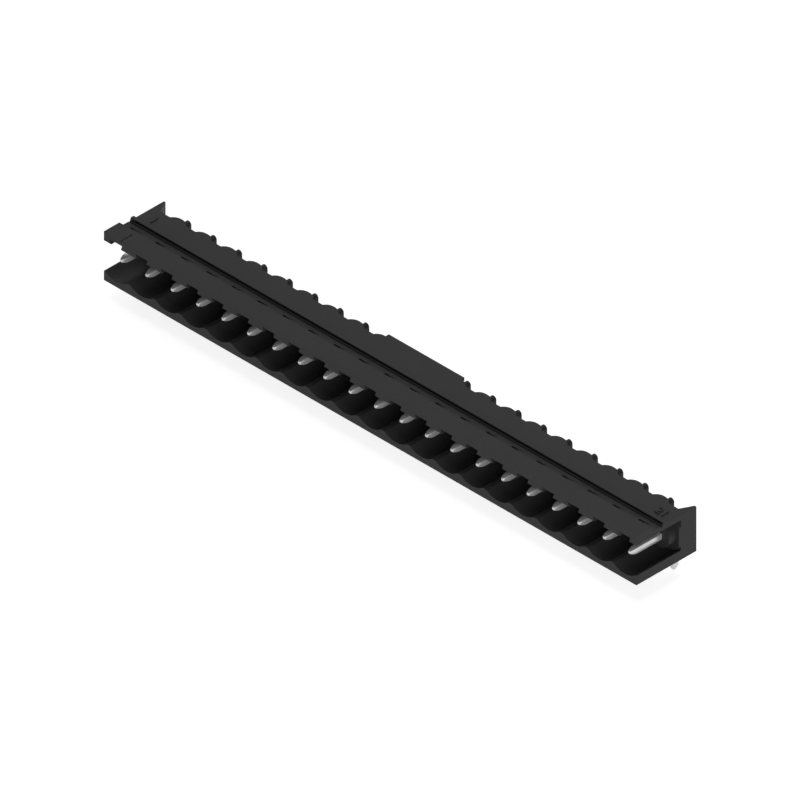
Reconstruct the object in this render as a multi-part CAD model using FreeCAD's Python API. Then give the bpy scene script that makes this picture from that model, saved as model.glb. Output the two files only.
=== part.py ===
import FreeCAD, Part
import math
import os
from FreeCAD import Vector

# Right-angle pin header for a circuit board: one moulded housing, open towards the plug and
# at both ends, and a row of square contacts bent down into solder tails.
# X runs along the row, Y from the plug side to the rear, Z up from the board.
# The origin is the centre of the housing's board face. Depths are counted from the plug side.

# Contact row
pole_count = 21
pitch = 5.08
end_margin = 2.425
contact_side = 1.0
contact_height = 3.98
tip_setback = 1.0
tip_side = 0.42
nose_length = 1.3
bend_radius = 0.75
tail_standoff = 0.04
tail_length = 3.2
tail_tip_side = 0.5
tail_taper = 0.8
contact_fit = 0.02

# Housing, overall
depth = 12.0
top_height = 7.66
deck_thickness = 0.8
comb_depth = 2.17
wall_thickness = 0.93

# Floor with one round channel under each contact
ridge_height = 1.62
ridge_width = 0.69
channel_sag = 0.75

# Raised lip along the plug side, with a ramp down to the deck
lip_rise = 0.76
lip_depth = 3.1
slit_place = 3.37
slit_width = 0.15
slit_length = 2.3
slit_depth = 0.2

# Fine guide groove and undercut marker rail across the top
guide_place = 4.8
guide_width = 0.18
guide_depth = 0.2
rail_place = 5.2
rail_lean = 0.18
rail_rise = 0.51
rail_flat = 0.56
rail_slot_width = 0.7
rail_slot_depth = 0.5
rail_lip = 0.17
rail_left_cap = 0.43
rail_right_cap = 0.3

# Dovetail coding pocket over each contact, lower towards its end, with a latch window in the deck
key_mouth = 1.9
key_root = 2.4
key_height = 0.74
key_end_height = 0.5
key_depth = 4.25
window_place = 3.88
window_width = 0.24
window_side = 1.15
window_open = 1.15
window_fade = 0.1

# Seat of each contact in the rear wall
pad_radius = 2.9
pad_thickness = 0.4
boss_radius = 1.94
boss_length = 1.5
groove_side_gap = 0.45
groove_depth = 0.63

# Rear comb: round columns, ribs between the tails, end wings and the label ledge
column_radius = 1.65
column_reach = 0.8
column_flat = 0.25
rib_width = 1.07
rib_drop = 0.89
wing_tip = 0.34
wing_root = 1.45
ledge_setback = 0.7
ledge_thickness = 0.55
ledge_pitches = 3
ledge_side_gap = 0.07

# Places worked out from the sizes above
front = -depth / 2
deck_rear = depth - comb_depth
wall_front = deck_rear - wall_thickness
pad_face = wall_front - pad_thickness
boss_face = pad_face - boss_length
tail_place = deck_rear + tail_standoff
underside = top_height - deck_thickness
lip_top = top_height + lip_rise
row_length = (pole_count - 1) * pitch
length = row_length + 2 * end_margin
left = -length / 2
right = length / 2
contact_places = [(n - (pole_count - 1) / 2) * pitch for n in range(pole_count)]
gap_places = [x + pitch / 2 for x in contact_places[:-1]]
merge = 0.2
clear = 1.0


def polygon_face(points):
    """Flat face inside a closed run of straight edges."""
    corners = [Vector(*p) for p in points]
    return Part.Face(Part.makePolygon(corners + corners[:1]))


def along_row(section, x0, x1):
    """Section given as depth and height, drawn out along X."""
    points = [(x0, front + d, z) for d, z in section]
    return polygon_face(points).extrude(Vector(x1 - x0, 0, 0))


def along_depth(section, x, d0, d1):
    """Section given as offset from x and height, drawn out from depth d0 to d1."""
    points = [(x + u, front + d0, z) for u, z in section]
    return polygon_face(points).extrude(Vector(0, d1 - d0, 0))


def block(x0, x1, d0, d1, z0, z1):
    """Box between two places on each axis."""
    return Part.makeBox(x1 - x0, d1 - d0, z1 - z0, Vector(x0, front + d0, z0))


def disc(x, radius, d0, d1):
    """Round stud around a contact, from depth d0 to d1."""
    base = Vector(x, front + d0, contact_height)
    return Part.makeCylinder(radius, d1 - d0, base, Vector(0, 1, 0))


def shell():
    """Floor, rear wall, deck, ramped lip and marker rail as one section along the row."""
    rail_front = rail_place + rail_lean
    rail_rear = rail_front + rail_flat
    rail_top = top_height + rail_rise
    section = [
        (0, 0),
        (deck_rear, 0),
        (deck_rear, top_height),
        (rail_rear + rail_rise, top_height),
        (rail_rear, rail_top),
        (rail_front, rail_top),
        (rail_place, top_height),
        (lip_depth + lip_rise, top_height),
        (lip_depth, lip_top),
        (0, lip_top),
        (0, underside),
        (wall_front, underside),
        (wall_front, ridge_height),
        (0, ridge_height),
    ]
    return along_row(section, left, right)


def rail_slot():
    """Slot under the marker rail, closed at both ends."""
    return block(
        left + rail_left_cap, right - rail_right_cap,
        rail_place, rail_place + rail_slot_width,
        top_height - rail_slot_depth, top_height + rail_rise - rail_lip,
    )


def guide_groove():
    """Fine groove in the deck in front of the marker rail."""
    return block(
        left - clear, right + clear, guide_place, guide_place + guide_width,
        top_height - guide_depth, top_height + merge,
    )


def channel(x):
    """Round channel in the floor under the contact at x."""
    half = (pitch - ridge_width) / 2
    start = Vector(x - half, front - clear, ridge_height)
    lowest = Vector(x, front - clear, ridge_height - channel_sag)
    end = Vector(x + half, front - clear, ridge_height)
    arc = Part.Arc(start, lowest, end).toShape()
    lid = Part.makePolygon([end, end + Vector(0, 0, merge), start + Vector(0, 0, merge), start])
    face = Part.Face(Part.Wire([arc] + lid.Edges))
    return face.extrude(Vector(0, wall_front + clear, 0))


def coding_pocket(x):
    """Dovetail pocket in the deck's underside, open at the plug side and lower towards its end."""
    mouth = key_mouth / 2
    root = key_root / 2
    lean = (root - mouth) * merge / key_height
    slope = (key_height - key_end_height) / key_depth

    def dovetail(d, height):
        return Part.makePolygon([
            Vector(x + lean - mouth, front + d, underside - merge),
            Vector(x + mouth - lean, front + d, underside - merge),
            Vector(x + root, front + d, underside + height),
            Vector(x - root, front + d, underside + height),
            Vector(x + lean - mouth, front + d, underside - merge),
        ])

    outside = dovetail(-clear, key_height + slope * clear)
    return Part.makeLoft([outside, dovetail(key_depth, key_end_height)], True, True)


def latch_window(x):
    """Slit in the deck over the pocket, open on its left and fading out as a shallow dip on its right."""
    edge = window_open - window_side
    section = [
        (-window_side, underside),
        (edge, underside),
        (edge, top_height - window_fade),
        (window_side, top_height),
        (window_side, top_height + merge),
        (-window_side, top_height + merge),
    ]
    return along_depth(section, x, window_place, window_place + window_width)


def contact_hole(x):
    """Square hole through boss and wall, and the groove behind it that guides the tail."""
    half = contact_side / 2 + contact_fit
    hole = block(
        x - half, x + half, boss_face - clear, deck_rear + clear, contact_height - half, contact_height + half
    )
    side = contact_side / 2 + groove_side_gap
    groove = block(
        x - side, x + side, deck_rear - groove_depth, deck_rear + clear, -clear, contact_height + side
    )
    return [hole, groove]


def column(x):
    """Round-backed column on the rear wall, between two tails."""
    flat = column_flat / 2
    base = column_radius - column_reach
    half = flat + math.sqrt(column_radius ** 2 - base ** 2)
    y_base = front + deck_rear
    y_arc = y_base - base
    bulge = column_radius * math.sin(math.radians(45))

    def corner(side):
        start = Vector(x + side * half, y_base, 0)
        middle = Vector(x + side * (flat + bulge), y_arc + bulge, 0)
        end = Vector(x + side * flat, y_base + column_reach, 0)
        return Part.Arc(start, middle, end).toShape()

    back = Part.makeLine(Vector(x - flat, y_base + column_reach, 0), Vector(x + flat, y_base + column_reach, 0))
    foot = Part.makePolygon([
        Vector(x + half, y_base, 0),
        Vector(x + half, y_base - merge, 0),
        Vector(x - half, y_base - merge, 0),
        Vector(x - half, y_base, 0),
    ])
    edges = Part.__sortEdges__([corner(-1), back, corner(1)] + foot.Edges)
    return Part.Face(Part.Wire(edges)).extrude(Vector(0, 0, top_height))


def rib(x):
    """Rib with a round top that stands behind the column and parts two tails."""
    half = rib_width / 2
    y_start = front + deck_rear - merge
    z_axis = top_height - rib_drop - half
    arc = Part.Arc(
        Vector(x + half, y_start, z_axis), Vector(x, y_start, z_axis + half), Vector(x - half, y_start, z_axis)
    ).toShape()
    sides = Part.makePolygon([
        Vector(x - half, y_start, z_axis),
        Vector(x - half, y_start, 0),
        Vector(x + half, y_start, 0),
        Vector(x + half, y_start, z_axis),
    ])
    face = Part.Face(Part.Wire([arc] + sides.Edges))
    return face.extrude(Vector(0, comb_depth + merge, 0))


def wing(side):
    """Full-height wedge at one end of the comb; side is -1 at the left and 1 at the right."""
    outer = side * length / 2
    points = [
        (outer, front + deck_rear - merge, 0),
        (outer, front + depth, 0),
        (outer - side * wing_tip, front + depth, 0),
        (outer - side * wing_root, front + deck_rear, 0),
        (outer - side * wing_root, front + deck_rear - merge, 0),
    ]
    return polygon_face(points).extrude(Vector(0, 0, top_height))


def label_ledge():
    """Flat ledge over the middle ribs that holds the printed label."""
    half = ledge_pitches * pitch / 2 - ledge_side_gap
    return block(
        -half, half, deck_rear - merge, depth - ledge_setback, top_height - ledge_thickness, top_height
    )


def housing():
    """The whole moulding."""
    cuts = [rail_slot(), guide_groove()]
    for x in contact_places:
        cuts += [channel(x), coding_pocket(x), latch_window(x)]
    slit = left + slit_place
    cuts.append(block(slit, slit + slit_width, -clear, slit_length, lip_top - slit_depth, lip_top + clear))
    body = shell().cut(cuts)

    seats = [disc(x, pad_radius, pad_face, wall_front + merge) for x in contact_places]
    seats += [disc(x, boss_radius, boss_face, pad_face + merge) for x in contact_places]
    envelope = block(left, right, 0, depth, 0, underside + merge)
    inside = seats[0].multiFuse(seats[1:]).common(envelope)

    comb = [column(x) for x in gap_places] + [rib(x) for x in gap_places]
    comb += [wing(-1), wing(1), label_ledge()]
    body = body.multiFuse([inside] + comb)

    holes = []
    for x in contact_places:
        holes += contact_hole(x)
    return body.cut(holes).removeSplitter()


def contact(x):
    """Square wire with a tapered nose, one bend and a tapered solder tail."""
    half = contact_side / 2
    tip = tip_side / 2
    tail_tip = tail_tip_side / 2
    z_mid = contact_height
    y_tip = front + tip_setback
    y_nose = y_tip + nose_length
    y_tail = front + tail_place
    y_bend = y_tail - bend_radius
    z_bend = z_mid - bend_radius
    diagonal = math.sqrt(0.5)
    taper = half - tip
    nose_radius = (nose_length ** 2 + taper ** 2) / (2 * taper)
    bow = taper - nose_radius + math.sqrt(nose_radius ** 2 - nose_length ** 2 / 4)

    def bend(radius):
        return Part.Arc(
            Vector(x - half, y_bend, z_bend + radius),
            Vector(x - half, y_bend + radius * diagonal, z_bend + radius * diagonal),
            Vector(x - half, y_bend + radius, z_bend),
        ).toShape()

    def nose(sign):
        return Part.Arc(
            Vector(x - half, y_tip, z_mid + sign * tip),
            Vector(x - half, y_tip + nose_length / 2, z_mid + sign * (tip + bow)),
            Vector(x - half, y_nose, z_mid + sign * half),
        ).toShape()

    def line(a, b):
        return Part.makeLine(Vector(x - half, *a), Vector(x - half, *b))

    z_end = -tail_length
    z_taper = z_end + tail_taper
    edges = [
        line((y_tip, z_mid - tip), (y_tip, z_mid + tip)),
        nose(1),
        line((y_nose, z_mid + half), (y_bend, z_mid + half)),
        bend(bend_radius + half),
        line((y_tail + half, z_bend), (y_tail + half, z_taper)),
        line((y_tail + half, z_taper), (y_tail + tail_tip, z_end)),
        line((y_tail + tail_tip, z_end), (y_tail - tail_tip, z_end)),
        line((y_tail - tail_tip, z_end), (y_tail - half, z_taper)),
        line((y_tail - half, z_taper), (y_tail - half, z_bend)),
        bend(bend_radius - half),
        line((y_bend, z_mid - half), (y_nose, z_mid - half)),
        nose(-1),
    ]
    wire = Part.Wire(Part.__sortEdges__(edges))
    bar = Part.Face(wire).extrude(Vector(contact_side, 0, 0))

    trims = []
    for sign in (-1, 1):
        z_low = z_mid - contact_side
        arc = Part.Arc(
            Vector(x + sign * tip, y_tip, z_low),
            Vector(x + sign * (tip + bow), y_tip + nose_length / 2, z_low),
            Vector(x + sign * half, y_nose, z_low),
        ).toShape()
        outside = Part.makePolygon([
            Vector(x + sign * half, y_nose, z_low),
            Vector(x + sign * contact_side, y_nose, z_low),
            Vector(x + sign * contact_side, y_tip - merge, z_low),
            Vector(x + sign * tip, y_tip - merge, z_low),
            Vector(x + sign * tip, y_tip, z_low),
        ])
        face = Part.Face(Part.Wire([arc] + outside.Edges))
        trims.append(face.extrude(Vector(0, 0, 2 * contact_side)))
        y_side = y_tail - contact_side
        wedge = polygon_face([
            (x + sign * half, y_side, z_taper),
            (x + sign * contact_side, y_side, z_taper),
            (x + sign * contact_side, y_side, z_end - merge),
            (x + sign * tail_tip, y_side, z_end - merge),
            (x + sign * tail_tip, y_side, z_end),
        ])
        trims.append(wedge.extrude(Vector(0, 2 * contact_side, 0)))
    return bar.cut(trims).removeSplitter()


os.makedirs("parts", exist_ok=True)
pieces = {"housing": housing()}
for number, place in enumerate(contact_places, start=1):
    pieces["contact_%02d" % number] = contact(place)
for name, shape in pieces.items():
    solid = shape.Solids[0] if len(shape.Solids) == 1 else shape
    solid.exportStep("parts/%s.step" % name)
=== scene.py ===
"""Right-angle pin header for a circuit board, dressed in the frame of its solids, in metres."""

import logging
import math
from dataclasses import dataclass
from enum import Enum

import bmesh
import bpy
from mathutils import Euler, Matrix, Vector


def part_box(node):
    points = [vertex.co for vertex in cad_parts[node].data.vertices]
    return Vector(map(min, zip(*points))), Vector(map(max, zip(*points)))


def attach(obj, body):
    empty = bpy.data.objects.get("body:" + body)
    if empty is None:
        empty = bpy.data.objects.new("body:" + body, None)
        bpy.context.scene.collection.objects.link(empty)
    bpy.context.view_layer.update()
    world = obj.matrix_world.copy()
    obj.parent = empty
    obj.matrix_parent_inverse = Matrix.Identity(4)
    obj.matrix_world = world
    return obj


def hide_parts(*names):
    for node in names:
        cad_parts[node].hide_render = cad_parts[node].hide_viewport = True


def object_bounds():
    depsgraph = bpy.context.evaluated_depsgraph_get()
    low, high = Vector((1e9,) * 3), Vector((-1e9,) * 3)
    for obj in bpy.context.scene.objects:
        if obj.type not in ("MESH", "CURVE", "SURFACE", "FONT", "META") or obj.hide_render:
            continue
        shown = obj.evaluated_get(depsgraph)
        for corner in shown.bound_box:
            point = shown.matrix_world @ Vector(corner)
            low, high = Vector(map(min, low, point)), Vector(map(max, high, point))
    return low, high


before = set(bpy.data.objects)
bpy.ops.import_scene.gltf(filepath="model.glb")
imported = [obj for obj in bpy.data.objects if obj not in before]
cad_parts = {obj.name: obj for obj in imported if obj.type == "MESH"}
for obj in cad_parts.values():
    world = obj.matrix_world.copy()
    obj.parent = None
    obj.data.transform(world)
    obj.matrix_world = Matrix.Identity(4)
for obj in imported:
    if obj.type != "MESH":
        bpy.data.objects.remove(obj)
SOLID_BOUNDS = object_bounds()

log = logging.getLogger("pin_header")

MM = 0.001
PER_MM = 1.0 / MM
POLE_COUNT = 21
# Points nearer to each other than this are one.
SEAM_WIDTH = 0.001 * MM
ROOT = "root"
WHITE = (1, 1, 1, 1)
# The sRGB curve is a straight line near black and a power above it.
SRGB_LINE_END = 0.04045
SRGB_LINE_SLOPE = 12.92
SRGB_OFFSET = 0.055
SRGB_POWER = 2.4


class Slot(Enum):
    """Material slots of the record."""

    HOUSING = "housing"
    CONTACT = "contact"


def linear(hex_colour: str) -> tuple[float, float, float, float]:
    """Turns an sRGB colour into the linear one that a shader takes.

    Args:
        hex_colour: Six hex digits after a hash sign.

    Returns:
        Red, green, blue and alpha.
    """
    channels = []
    for start in (1, 3, 5):
        level = int(hex_colour[start:start + 2], 16) / 255
        if level <= SRGB_LINE_END:
            channels.append(level / SRGB_LINE_SLOPE)
        else:
            channels.append(((level + SRGB_OFFSET) / (1 + SRGB_OFFSET)) ** SRGB_POWER)
    return (*channels, 1.0)


def add_node(
    tree: bpy.types.NodeTree,
    kind: str,
    settings: dict[str, object] | None = None,
    values: dict[str, object] | None = None,
    links: dict[str | int, bpy.types.NodeSocket] | None = None,
) -> bpy.types.Node:
    """Adds one node with its settings, plain values and links.

    Args:
        tree: Node tree to add to.
        kind: Blender's type name of the node.
        settings: Properties of the node itself.
        values: Input values by socket name.
        links: Output sockets to link, by input socket name or number.

    Returns:
        The new node.
    """
    node = tree.nodes.new(kind)
    for key, value in (settings or {}).items():
        setattr(node, key, value)
    for key, value in (values or {}).items():
        node.inputs[key].default_value = value
    for key, source in (links or {}).items():
        tree.links.new(source, node.inputs[key])
    return node


@dataclass(frozen=True)
class Pattern:
    """Random pattern: its size in the unit that its node reads, its finer layers and their share."""

    size: float
    layers: float
    layer_share: float

    def values(self) -> dict[str, float]:
        """Values of the noise node that draws the pattern."""
        return {"Scale": 1 / self.size, "Detail": self.layers, "Roughness": self.layer_share}


@dataclass(frozen=True)
class MouldedPolyamide:
    """Black glass-filled polyamide 66, injection moulded in a fine-eroded tool.

    The eye sees a deep grey-black with a satin sheen, a faint grain and sharp dark edges.
    """

    name: str = "moulded_black_polyamide"
    colour: str = "#242425"
    # The melt's flow leaves faint paler clouds of this colour, several millimetres wide.
    flow_colour: str = "#2B2B2C"
    flow: Pattern = Pattern(7.0, 3.0, 0.5)
    ior: float = 1.5
    roughness: float = 0.6
    # Fine erosion scatters part of the mirror share, so less than the plain plastic's gloss is left.
    specular_level: float = 0.25
    # Eroded tool steel leaves a grain of about 0.05 mm; it is drawn at 0.25 mm so that it shows.
    grain: Pattern = Pattern(0.25, 2.0, 0.6)
    grain_relief_mm: float = 0.004
    grain_strength: float = 0.5

    def build(self) -> bpy.types.Material:
        """Builds the material.

        Returns:
            The finished material.
        """
        material = bpy.data.materials.new(self.name)
        material.use_nodes = True
        tree = material.node_tree
        shader = tree.nodes["Principled BSDF"]
        place = add_node(tree, "ShaderNodeTexCoord")
        in_mm = add_node(
            tree, "ShaderNodeMapping", {}, {"Scale": (PER_MM, PER_MM, PER_MM)},
            {"Vector": place.outputs["Object"]},
        )
        grain = add_node(
            tree, "ShaderNodeTexNoise", {}, self.grain.values(), {"Vector": in_mm.outputs["Vector"]}
        )
        flow = add_node(
            tree, "ShaderNodeTexNoise", {}, self.flow.values(), {"Vector": in_mm.outputs["Vector"]}
        )
        tone = add_node(
            tree, "ShaderNodeMix", {"data_type": "RGBA"},
            {"A": linear(self.colour), "B": linear(self.flow_colour)}, {"Factor": flow.outputs["Fac"]},
        )
        bump = add_node(
            tree, "ShaderNodeBump", {},
            {"Strength": self.grain_strength, "Distance": self.grain_relief_mm * MM},
            {"Height": grain.outputs["Fac"]},
        )
        tree.links.new(tone.outputs["Result"], shader.inputs["Base Color"])
        tree.links.new(bump.outputs["Normal"], shader.inputs["Normal"])
        shader.inputs["Roughness"].default_value = self.roughness
        shader.inputs["IOR"].default_value = self.ior
        shader.inputs["Specular IOR Level"].default_value = self.specular_level
        return material


@dataclass(frozen=True)
class TinPlate:
    """Satin electroplated tin over drawn copper alloy wire.

    The eye sees a pale, neutral metal without sharp reflections, with faint marks along the wire.
    """

    name: str = "satin_tin_plate"
    colour: str = "#D2D2D1"
    metallic: float = 0.6
    roughness: float = 0.32
    # Drawing leaves marks of about 0.03 mm across; they are drawn at 0.12 mm so that they show. The
    # wire runs along the depth and then down, so they are narrow only across the row.
    mark_width_mm: float = 0.12
    mark_length_mm: float = 4.0
    # This pattern is counted in marks.
    marks: Pattern = Pattern(1.0, 2.0, 0.5)
    # Values between these two cover the roughness and the spread to each side of it.
    marks_low: float = 0.3
    marks_high: float = 0.7
    roughness_spread: float = 0.05

    def build(self) -> bpy.types.Material:
        """Builds the material.

        Returns:
            The finished material.
        """
        material = bpy.data.materials.new(self.name)
        material.use_nodes = True
        tree = material.node_tree
        shader = tree.nodes["Principled BSDF"]
        place = add_node(tree, "ShaderNodeTexCoord")
        across = PER_MM / self.mark_width_mm
        along = PER_MM / self.mark_length_mm
        in_marks = add_node(
            tree, "ShaderNodeMapping", {}, {"Scale": (across, along, along)},
            {"Vector": place.outputs["Object"]},
        )
        marks = add_node(
            tree, "ShaderNodeTexNoise", {}, self.marks.values(), {"Vector": in_marks.outputs["Vector"]}
        )
        gloss = add_node(
            tree, "ShaderNodeMapRange", {},
            {
                "From Min": self.marks_low,
                "From Max": self.marks_high,
                "To Min": self.roughness - self.roughness_spread,
                "To Max": self.roughness + self.roughness_spread,
            },
            {"Value": marks.outputs["Fac"]},
        )
        tree.links.new(gloss.outputs["Result"], shader.inputs["Roughness"])
        shader.inputs["Base Color"].default_value = linear(self.colour)
        shader.inputs["Metallic"].default_value = self.metallic
        return material


@dataclass(frozen=True)
class PaleFloor:
    """Matt grey studio floor that glows only towards the camera and reflections.

    The eye sees white, with the part's soft shadow.
    """

    name: str = "pale_studio_floor"
    colour: str = "#B4B4B4"
    # The floor's own lamp light and this glow add up to white, a little less in the part's shadow.
    glow: float = 0.8

    def build(self) -> bpy.types.Material:
        """Builds the material.

        Returns:
            The finished material.
        """
        material = bpy.data.materials.new(self.name)
        material.use_nodes = True
        tree = material.node_tree
        tree.nodes.clear()
        seen = add_node(tree, "ShaderNodeLightPath")
        matt = add_node(tree, "ShaderNodeBsdfDiffuse", {}, {"Color": linear(self.colour)})
        looked_at = add_node(
            tree, "ShaderNodeMath", {"operation": "MAXIMUM"}, {},
            {0: seen.outputs["Is Camera Ray"], 1: seen.outputs["Is Glossy Ray"]},
        )
        level = add_node(
            tree, "ShaderNodeMapRange", {}, {"To Max": self.glow}, {"Value": looked_at.outputs["Value"]}
        )
        glow = add_node(
            tree, "ShaderNodeEmission", {}, {"Color": WHITE}, {"Strength": level.outputs["Result"]}
        )
        both = add_node(
            tree, "ShaderNodeAddShader", {}, {}, {0: matt.outputs["BSDF"], 1: glow.outputs["Emission"]}
        )
        add_node(tree, "ShaderNodeOutputMaterial", {}, {}, {"Surface": both.outputs["Shader"]})
        return material


@dataclass(frozen=True)
class Box:
    """Lowest and highest corner of a solid, in metres."""

    low: Vector
    high: Vector

    @classmethod
    def of(cls, node: str) -> "Box":
        """Box of one solid of the frame."""
        low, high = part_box(node)
        return cls(Vector(low), Vector(high))

    @property
    def centre(self) -> Vector:
        """Middle of the box."""
        return (self.low + self.high) / 2

    @property
    def size(self) -> Vector:
        """Lengths of the box."""
        return self.high - self.low


def deselect_all() -> None:
    """Leaves no object selected."""
    bpy.ops.object.select_all(action="DESELECT")


def pick(piece: bpy.types.Object) -> None:
    """Makes a piece the only selected object and the active one.

    Args:
        piece: The piece.
    """
    deselect_all()
    piece.select_set(True)
    bpy.context.view_layer.objects.active = piece


def own_copy(piece: bpy.types.Object) -> bpy.types.Object:
    """Copies a piece with a mesh of its own.

    Args:
        piece: The piece.

    Returns:
        The copy, in the scene.
    """
    twin = piece.copy()
    twin.data = piece.data.copy()
    bpy.context.collection.objects.link(twin)
    return twin


def apply_place(piece: bpy.types.Object) -> None:
    """Moves a piece's place, turn and scale into its mesh."""
    pick(piece)
    bpy.ops.object.transform_apply(location=True, rotation=True, scale=True)


def close_shell(piece: bpy.types.Object) -> None:
    """Merges a piece's doubled points and turns its faces outwards.

    Args:
        piece: The piece, in object mode.
    """
    pick(piece)
    bpy.ops.object.mode_set(mode="EDIT")
    bpy.ops.mesh.select_all(action="SELECT")
    bpy.ops.mesh.remove_doubles(threshold=SEAM_WIDTH)
    bpy.ops.mesh.normals_make_consistent(inside=False)
    bpy.ops.object.mode_set(mode="OBJECT")


def select_end(piece: bpy.types.Object, place: Vector) -> None:
    """Selects the face of a piece that lies nearest to a place.

    Args:
        piece: The piece, in edit mode.
        place: Middle of the wanted face.
    """
    bpy.ops.mesh.select_all(action="DESELECT")
    bpy.ops.mesh.select_mode(type="FACE")
    mesh = bmesh.from_edit_mesh(piece.data)
    end = min(mesh.faces, key=lambda face: (face.calc_center_median() - place).length)
    end.select_set(True)
    mesh.select_flush_mode()
    bmesh.update_edit_mesh(piece.data)


def draw_out(shift: Vector, narrow: float, pivot: Vector) -> None:
    """Extrudes the selected end face and narrows it about the wire's axis.

    Args:
        shift: Way and distance of the new end face.
        narrow: Its size as a share of the last one's.
        pivot: Point on the wire's axis at the new end face.
    """
    bpy.ops.mesh.extrude_region_move(TRANSFORM_OT_translate={"value": tuple(shift)})
    if narrow != 1.0:
        bpy.ops.transform.resize(value=(narrow, narrow, narrow), center_override=tuple(pivot))


@dataclass
class ContactRow:
    """Square wires with bullet noses, bent down into pointed solder tails."""

    finish: bpy.types.Material
    nose_length: float = 1.3 * MM
    tail_taper: float = 0.8 * MM
    # Sides of the nose's tip and of the tail's end, as shares of the wire's side.
    tip_share: float = 0.42
    tail_tip_share: float = 0.5
    bend_radius: float = 0.75 * MM
    edge_round: float = 0.07 * MM
    nose_steps: int = 5
    bend_steps: int = 8
    edge_steps: int = 2
    # Edges that turn by more than the first angle are rounded, and by less than the second look smooth.
    round_above: float = 40.0
    smooth_below: float = 30.0

    def draw_nose(self, piece: bpy.types.Object, root: Vector, half: float) -> None:
        """Draws the nose out of the wire's front face, in steps along a round curve.

        Args:
            piece: The wire, in edit mode.
            root: Point on the wire's axis where the nose starts.
            half: Half of the wire's side.
        """
        select_end(piece, root)
        taper = half * (1 - self.tip_share)
        radius = (self.nose_length ** 2 + taper ** 2) / (2 * taper)
        shift = Vector((0, -self.nose_length / self.nose_steps, 0))
        last = half
        for step in range(1, self.nose_steps + 1):
            reach = self.nose_length * step / self.nose_steps
            width = half - radius + math.sqrt(radius ** 2 - reach ** 2)
            draw_out(shift, width / last, Vector((root.x, root.y - reach, root.z)))
            last = width

    def draw_tail(self, piece: bpy.types.Object, bend: Vector, tip: Vector) -> None:
        """Bends the wire down behind the rear wall and draws out its tail.

        Args:
            piece: The wire, in edit mode.
            bend: Point on the wire's axis where the bend starts.
            tip: Point on the wire's axis where the tail ends.
        """
        z_bend = bend.z - self.bend_radius
        z_taper = tip.z + self.tail_taper
        select_end(piece, bend)
        bpy.ops.mesh.spin(
            steps=self.bend_steps, angle=math.radians(90), center=(bend.x, bend.y, z_bend), axis=(1, 0, 0)
        )
        select_end(piece, Vector((tip.x, tip.y, z_bend)))
        draw_out(Vector((0, 0, z_taper - z_bend)), 1.0, Vector((tip.x, tip.y, z_taper)))
        draw_out(Vector((0, 0, -self.tail_taper)), self.tail_tip_share, tip)

    def round_edges(self, piece: bpy.types.Object) -> None:
        """Rounds the wire's long edges, as drawing does, and shades its faces smooth.

        Args:
            piece: The wire, in object mode and active.
        """
        rounding = piece.modifiers.new("drawn_edges", "BEVEL")
        rounding.width = self.edge_round
        rounding.segments = self.edge_steps
        rounding.limit_method = "ANGLE"
        rounding.angle_limit = math.radians(self.round_above)
        bpy.ops.object.modifier_apply(modifier=rounding.name)
        bpy.ops.object.shade_smooth_by_angle(angle=math.radians(self.smooth_below))

    def wire(self, solid: Box) -> bpy.types.Object:
        """Models one contact at the place of its solid.

        Args:
            solid: Box of the solid that the contact replaces.

        Returns:
            The contact, with its place in its mesh.
        """
        side = solid.size.x
        half = side / 2
        x_mid = solid.centre.x
        z_axis = solid.high.z - half
        y_nose = solid.low.y + self.nose_length
        y_tail = solid.high.y - half
        y_bend = y_tail - self.bend_radius

        deselect_all()
        bpy.ops.mesh.primitive_cube_add(size=1.0, location=(x_mid, (y_nose + y_bend) / 2, z_axis))
        piece = bpy.context.active_object
        piece.scale = (side, y_bend - y_nose, side)
        apply_place(piece)
        bpy.ops.object.mode_set(mode="EDIT")
        self.draw_nose(piece, Vector((x_mid, y_nose, z_axis)), half)
        self.draw_tail(piece, Vector((x_mid, y_bend, z_axis)), Vector((x_mid, y_tail, solid.low.z)))
        bpy.ops.object.mode_set(mode="OBJECT")
        close_shell(piece)
        self.round_edges(piece)
        piece.data.materials.append(self.finish)
        return piece

    def build(self) -> list[bpy.types.Object]:
        """Models the first contact and copies it along the row.

        Returns:
            All contacts of the row.
        """
        first = Box.of("contact_01")
        pattern = self.wire(first)
        row = []
        for number in range(1, POLE_COUNT + 1):
            node = f"contact_{number:02d}"
            piece = pattern
            if number > 1:
                piece = own_copy(pattern)
                along = Box.of(node).centre.x - first.centre.x
                piece.data.transform(Matrix.Translation((along, 0, 0)))
            piece.name = f"tinned_{node}"
            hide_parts(node)
            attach(piece, ROOT)
            row.append(piece)
        return row


@dataclass(frozen=True)
class FineEdge:
    """Points of the moulding on one line along the row, and how far they are drawn from their place.

    Depths count from the plug side and heights from the board. The gaps at both ends of the row are
    left out. All lengths are in millimetres.
    """

    depth: float
    low: float
    high: float
    back: float = 0.0
    up: float = 0.0
    left_gap: float = 0.0
    right_gap: float = 0.0
    reach: float = 0.01

    def holds(self, point: Vector, box: Box) -> bool:
        """Tells whether a point of the moulding lies on the line.

        Args:
            point: Place of the point, in metres.
            box: Box of the moulding's solid.

        Returns:
            True where the point is to be drawn.
        """
        depth = (point.y - box.low.y) * PER_MM
        height = point.z * PER_MM
        from_left = (point.x - box.low.x) * PER_MM
        from_right = (box.high.x - point.x) * PER_MM
        return (
            abs(depth - self.depth) < self.reach
            and self.low < height < self.high
            and from_left > self.left_gap - self.reach
            and from_right > self.right_gap - self.reach
        )


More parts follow.
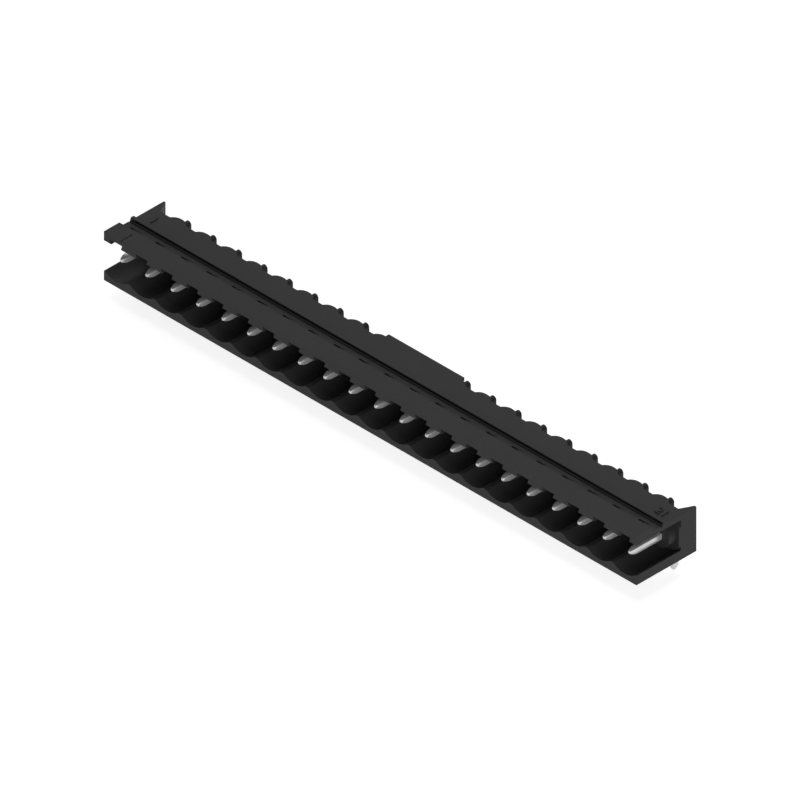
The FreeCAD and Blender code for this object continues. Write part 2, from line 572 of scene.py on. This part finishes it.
@dataclass
class Housing:
    """The moulding, copied from its solid with its finest edges redrawn, and its pole numbers."""

    finish: bpy.types.Material
    fine_edges: tuple[FineEdge, ...] = (
        # Front of the slot under the marker rail, between the rail's closed ends.
        FineEdge(depth=5.2, low=7.1, high=7.7, back=0.22, left_gap=0.4, right_gap=0.27),
        # Guide groove in front of the rail, front and rear edge.
        FineEdge(depth=4.8, low=7.4, high=7.7, back=0.13),
        FineEdge(depth=4.98, low=7.4, high=7.7, back=0.14),
        # Lower edge of the rail's overhang, and the slot's ceiling behind it.
        FineEdge(depth=5.32, low=7.98, high=8.02, back=0.028, up=0.08),
        FineEdge(depth=5.9, low=7.98, high=8.02, up=0.08),
        # Rear edge of the latch windows.
        FineEdge(depth=4.12, low=7.0, high=7.7, back=0.08),
    )
    # Top of the deck above the board.
    deck_height: float = 7.66 * MM
    number_height: float = 2.1 * MM
    number_relief: float = 0.15 * MM
    # The numbers reach this far into the deck, so that no gap shows under them.
    number_sink: float = 0.03 * MM
    # From the moulding's rear to the middle of the numbers.
    number_setback: float = 4.44 * MM
    number_curve_steps: int = 4

    def moulding(self) -> bpy.types.Object:
        """Copies the housing's solid as one closed mesh and draws its fine edges.

        Returns:
            The moulding.
        """
        box = Box.of("housing")
        piece = own_copy(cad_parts["housing"])
        piece.parent = None
        piece.name = "moulded_housing"
        piece.data.materials.clear()
        piece.data.materials.append(self.finish)

        pick(piece)
        bpy.ops.object.mode_set(mode="EDIT")
        bpy.ops.mesh.select_mode(type="VERT")
        bpy.ops.mesh.select_all(action="SELECT")
        bpy.ops.mesh.remove_doubles(threshold=SEAM_WIDTH)
        for edge in self.fine_edges:
            bpy.ops.mesh.select_all(action="DESELECT")
            mesh = bmesh.from_edit_mesh(piece.data)
            points = [vertex for vertex in mesh.verts if edge.holds(vertex.co, box)]
            for point in points:
                point.select_set(True)
            bmesh.update_edit_mesh(piece.data)
            log.info("fine edge at %.2f mm: %d points", edge.depth, len(points))
            bpy.ops.transform.translate(value=(0, edge.back * MM, edge.up * MM))
        bpy.ops.object.mode_set(mode="OBJECT")

        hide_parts("housing")
        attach(piece, ROOT)
        return piece

    def pole_number(self, number: int) -> bpy.types.Object:
        """Models one raised pole number on the deck, behind its contact.

        Args:
            number: The pole's number.

        Returns:
            The number as a mesh.
        """
        x = Box.of(f"contact_{number:02d}").centre.x
        y = Box.of("housing").high.y - self.number_setback
        z = self.deck_height + (self.number_relief - self.number_sink) / 2
        deselect_all()
        bpy.ops.object.text_add()
        text = bpy.context.active_object.data
        text.body = str(number)
        text.size = self.number_height
        text.extrude = (self.number_relief + self.number_sink) / 2
        text.align_x = "CENTER"
        text.align_y = "CENTER"
        text.resolution_u = self.number_curve_steps
        bpy.ops.object.convert(target="MESH")
        piece = bpy.context.active_object
        piece.location = (x, y, z)
        apply_place(piece)
        close_shell(piece)
        piece.name = f"pole_number_{number}"
        piece.data.materials.clear()
        piece.data.materials.append(self.finish)
        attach(piece, ROOT)
        return piece

    def build(self) -> list[bpy.types.Object]:
        """Makes the moulding and adds the numbers of its first and last pole.

        Returns:
            The moulding and its numbers.
        """
        return [self.moulding(), self.pole_number(1), self.pole_number(POLE_COUNT)]


@dataclass(frozen=True)
class Lamp:
    """One square soft lamp, which looks at the middle of the part.

    Its place round the part is in degrees, with 0 at the plug side and 90 at the right end. Its side
    is in metres.
    """

    name: str
    azimuth: float
    elevation: float
    watts: float
    side: float = 0.4


@dataclass
class Studio:
    """Pale floor, soft lamps and the camera, with lengths in metres and angles in degrees."""

    lamps: tuple[Lamp, ...] = (
        Lamp("key_lamp", 54, 16, 3.3),
        Lamp("top_lamp", 0, 88, 1.5),
        Lamp("rear_lamp", 215, 27, 1.2, 0.5),
    )
    lamp_distance: float = 0.7
    floor_gap: float = 0.05 * MM
    floor_size: float = 3.0
    sky_strength: float = 0.12
    # A background of this strength is white.
    white_strength: float = 1.0
    camera_azimuth: float = 45.0
    camera_elevation: float = 35.0
    camera_distance: float = 0.6
    camera_far: float = 10.0
    picture_side: float = 800.0
    pixels_per_mm: float = 7.0748
    # The picture's middle seen from the part's origin.
    aim_right_mm: float = -0.02
    aim_up_mm: float = 2.19

    @staticmethod
    def direction(azimuth: float, elevation: float) -> Vector:
        """Unit vector from the part towards a place round it."""
        a, e = math.radians(azimuth), math.radians(elevation)
        return Vector((math.sin(a) * math.cos(e), -math.cos(a) * math.cos(e), math.sin(e)))

    def add_floor(self) -> None:
        """Adds the floor just below the tails."""
        deselect_all()
        lowest = SOLID_BOUNDS[0].z - self.floor_gap
        bpy.ops.mesh.primitive_plane_add(size=self.floor_size, location=(0, 0, lowest))
        floor = bpy.context.active_object
        floor.name = "studio_floor"
        floor.data.materials.append(PaleFloor().build())

    def add_sky(self) -> None:
        """Adds soft light from all round, and white where the camera looks past the floor."""
        world = bpy.data.worlds.new("studio_world")
        bpy.context.scene.world = world
        world.use_nodes = True
        tree = world.node_tree
        tree.nodes.clear()
        seen = add_node(tree, "ShaderNodeLightPath")
        level = add_node(
            tree, "ShaderNodeMapRange", {},
            {"To Min": self.sky_strength, "To Max": self.white_strength},
            {"Value": seen.outputs["Is Camera Ray"]},
        )
        light = add_node(
            tree, "ShaderNodeBackground", {}, {"Color": WHITE}, {"Strength": level.outputs["Result"]}
        )
        add_node(tree, "ShaderNodeOutputWorld", {}, {}, {"Surface": light.outputs["Background"]})

    def add_lamp(self, lamp: Lamp) -> None:
        """Adds one lamp.

        Args:
            lamp: Its name, place, power and size.
        """
        place = self.direction(lamp.azimuth, lamp.elevation) * self.lamp_distance
        deselect_all()
        bpy.ops.object.light_add(type="AREA", location=tuple(place))
        light = bpy.context.active_object
        light.name = lamp.name
        light.data.energy = lamp.watts
        light.data.size = lamp.side
        light.rotation_euler = place.to_track_quat("Z", "Y").to_euler()

    def add_camera(self) -> None:
        """Adds the camera, which sees in parallel from the front, the right and above."""
        back = self.direction(self.camera_azimuth, self.camera_elevation)
        turn = Euler((math.radians(90 - self.camera_elevation), 0, math.radians(self.camera_azimuth)))
        right = turn.to_matrix() @ Vector((1, 0, 0))
        up = turn.to_matrix() @ Vector((0, 1, 0))
        aim = (right * self.aim_right_mm + up * self.aim_up_mm) * MM
        place = aim + back * self.camera_distance
        deselect_all()
        bpy.ops.object.camera_add(location=tuple(place), rotation=tuple(turn))
        camera = bpy.context.active_object
        camera.name = "studio_camera"
        camera.data.type = "ORTHO"
        camera.data.ortho_scale = self.picture_side / self.pixels_per_mm * MM
        camera.data.clip_end = self.camera_far
        bpy.context.scene.camera = camera

    def build(self) -> None:
        """Sets up floor, light and camera."""
        self.add_floor()
        self.add_sky()
        for lamp in self.lamps:
            self.add_lamp(lamp)
        self.add_camera()
        bpy.context.scene.view_settings.view_transform = "Standard"


def main() -> None:
    """Builds the part and its studio."""
    logging.basicConfig(level=logging.INFO, format="%(message)s")
    plastic = MouldedPolyamide().build()
    tin = TinPlate().build()
    for piece in Housing(plastic).build() + ContactRow(tin).build():
        log.info("built %s with %d faces", piece.name, len(piece.data.polygons))
    Studio().build()


if __name__ == "__main__":
    main()
